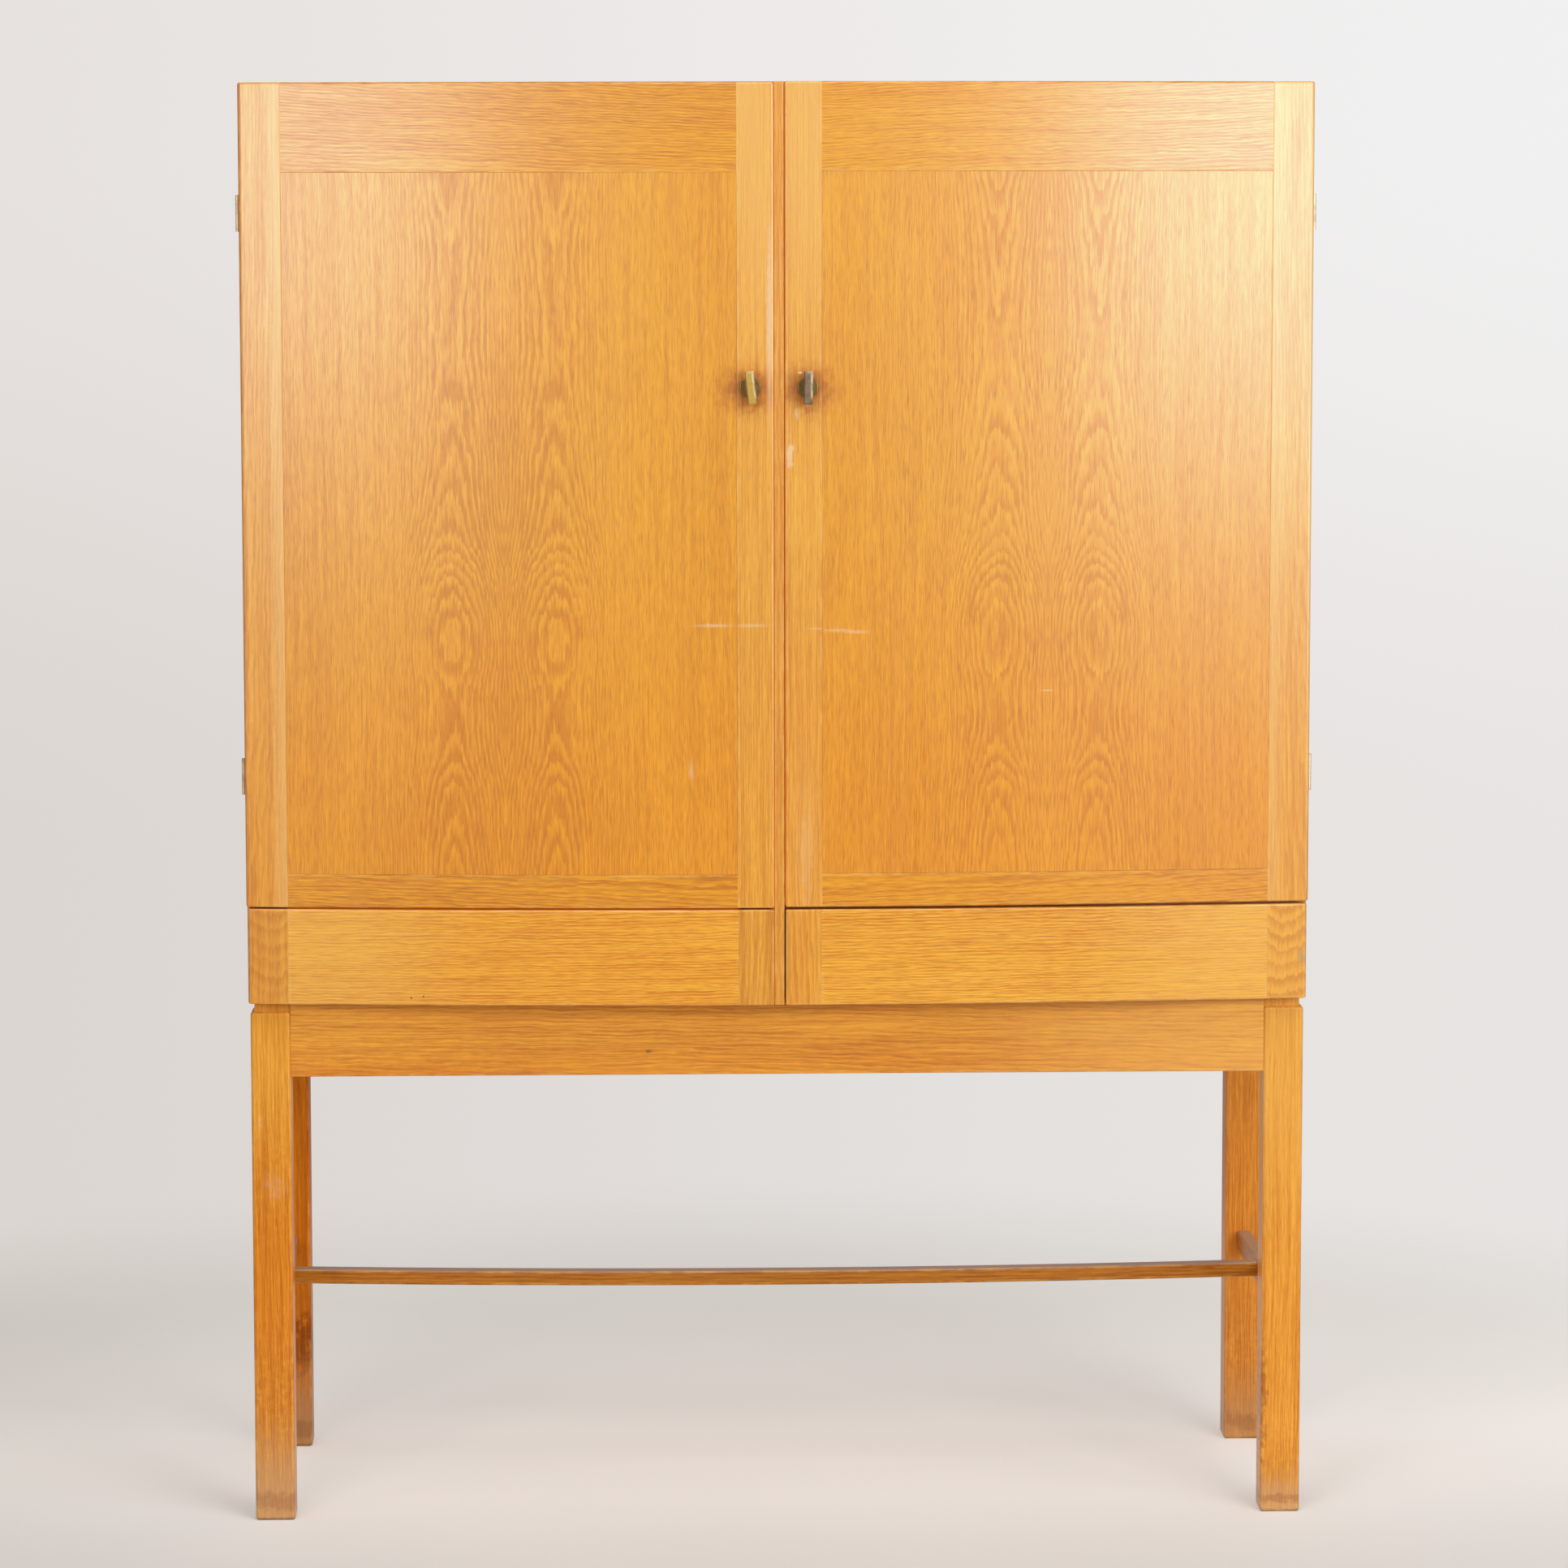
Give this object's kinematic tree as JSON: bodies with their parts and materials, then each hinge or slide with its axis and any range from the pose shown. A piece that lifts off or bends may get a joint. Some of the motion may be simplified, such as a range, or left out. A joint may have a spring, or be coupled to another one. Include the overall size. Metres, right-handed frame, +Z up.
{
  "type": "bow-fronted cabinet on stand",
  "caption": "Honey-oak cabinet with a gently bowed front: flush-panel hinged doors with turning brass knobs, overlay drawers beneath, on an open square-legged stand with stretchers.",
  "frame": {"origin": "on the floor, under the middle of the overall box", "axes": "+Z up, -Y towards the bowed front, +X to the right seen from the front"},
  "size_m": [1.209, 0.493, 1.631],
  "materials": {
    "oak_front": "satin lacquer",
    "oak_stand": "satin lacquer",
    "oak_case": "satin lacquer",
    "oak_inside": "thin matt lacquer",
    "back_board": "raw plywood",
    "brass": "aged brass",
    "steel": "dull zinc"
  },
  "bodies": {
    "case": {"centre_fillet": "oak_front", "front_left_leg": "oak_stand", "front_right_leg": "oak_stand", "back_left_leg": "oak_stand", "back_right_leg": "oak_stand", "front_apron": "oak_stand", "back_apron": "oak_stand", "left_apron": "oak_stand", "right_apron": "oak_stand", "left_stretcher": "oak_stand", "right_stretcher": "oak_stand", "long_stretcher": "oak_stand", "left_side": "oak_case", "right_side": "oak_case", "top_board": "oak_case", "bottom_board": "oak_case", "centre_partition": "oak_inside", "left_middle_board": "oak_inside", "right_middle_board": "oak_inside", "shelves": "oak_inside", "drawer_runners": "oak_inside", "back_panel": "back_board", "shelf_pins": "brass", "latch_keepers": "brass", "hinge_case_leaves": "brass", "hinge_pins": "brass", "hinge_case_screws": "brass", "back_panel_screws": "steel"},
    "left_door": {"left_door_outer_stile": "oak_front", "left_door_inner_stile": "oak_front", "left_door_top_rail": "oak_front", "left_door_bottom_rail": "oak_front", "left_door_panel": "oak_front", "left_door_hinge_leaves": "brass", "left_door_hinge_screws": "brass", "left_knob_rosette": "brass"},
    "left_knob": {"left_knob_bar": "brass", "left_knob_spindle": "brass", "left_latch_tongue": "brass"},
    "left_drawer": {"left_drawer_front": "oak_front", "left_drawer_front_ends": "oak_front", "left_drawer_sides": "oak_inside", "left_drawer_back": "oak_inside", "left_drawer_bottom": "oak_inside"},
    "right_door": {"right_door_outer_stile": "oak_front", "right_door_inner_stile": "oak_front", "right_door_top_rail": "oak_front", "right_door_bottom_rail": "oak_front", "right_door_panel": "oak_front", "right_door_hinge_leaves": "brass", "right_door_hinge_screws": "brass", "right_knob_rosette": "brass"},
    "right_knob": {"right_knob_bar": "brass", "right_knob_spindle": "brass", "right_latch_tongue": "brass"},
    "right_drawer": {"right_drawer_front": "oak_front", "right_drawer_front_ends": "oak_front", "right_drawer_sides": "oak_inside", "right_drawer_back": "oak_inside", "right_drawer_bottom": "oak_inside"}
  },
  "joints": [
    {"name": "left_door_hinge", "type": "hinge", "parent": "case", "child": "left_door", "pos_m": [-0.6024, -0.17266, 1.1704], "axis": [0, 0, -1], "range_deg": [0, 180]},
    {"name": "left_knob_turn", "type": "hinge", "parent": "left_door", "child": "left_knob", "pos_m": [-0.032, -0.22645, 1.2928], "axis": [0, -1, 0], "range_deg": [-6.5, 83.5]},
    {"name": "left_drawer_slide", "type": "slide", "parent": "case", "child": "left_drawer", "axis": [0, -1, 0], "range_m": [0, 0.3]},
    {"name": "right_door_hinge", "type": "hinge", "parent": "case", "child": "right_door", "pos_m": [0.6024, -0.17266, 1.1704], "axis": [0, 0, 1], "range_deg": [0, 180]},
    {"name": "right_knob_turn", "type": "hinge", "parent": "right_door", "child": "right_knob", "pos_m": [0.032, -0.22645, 1.2928], "axis": [0, 1, 0], "range_deg": [-1, 89]},
    {"name": "right_drawer_slide", "type": "slide", "parent": "case", "child": "right_drawer", "axis": [0, -1, 0], "range_m": [0, 0.3]}
  ]
}
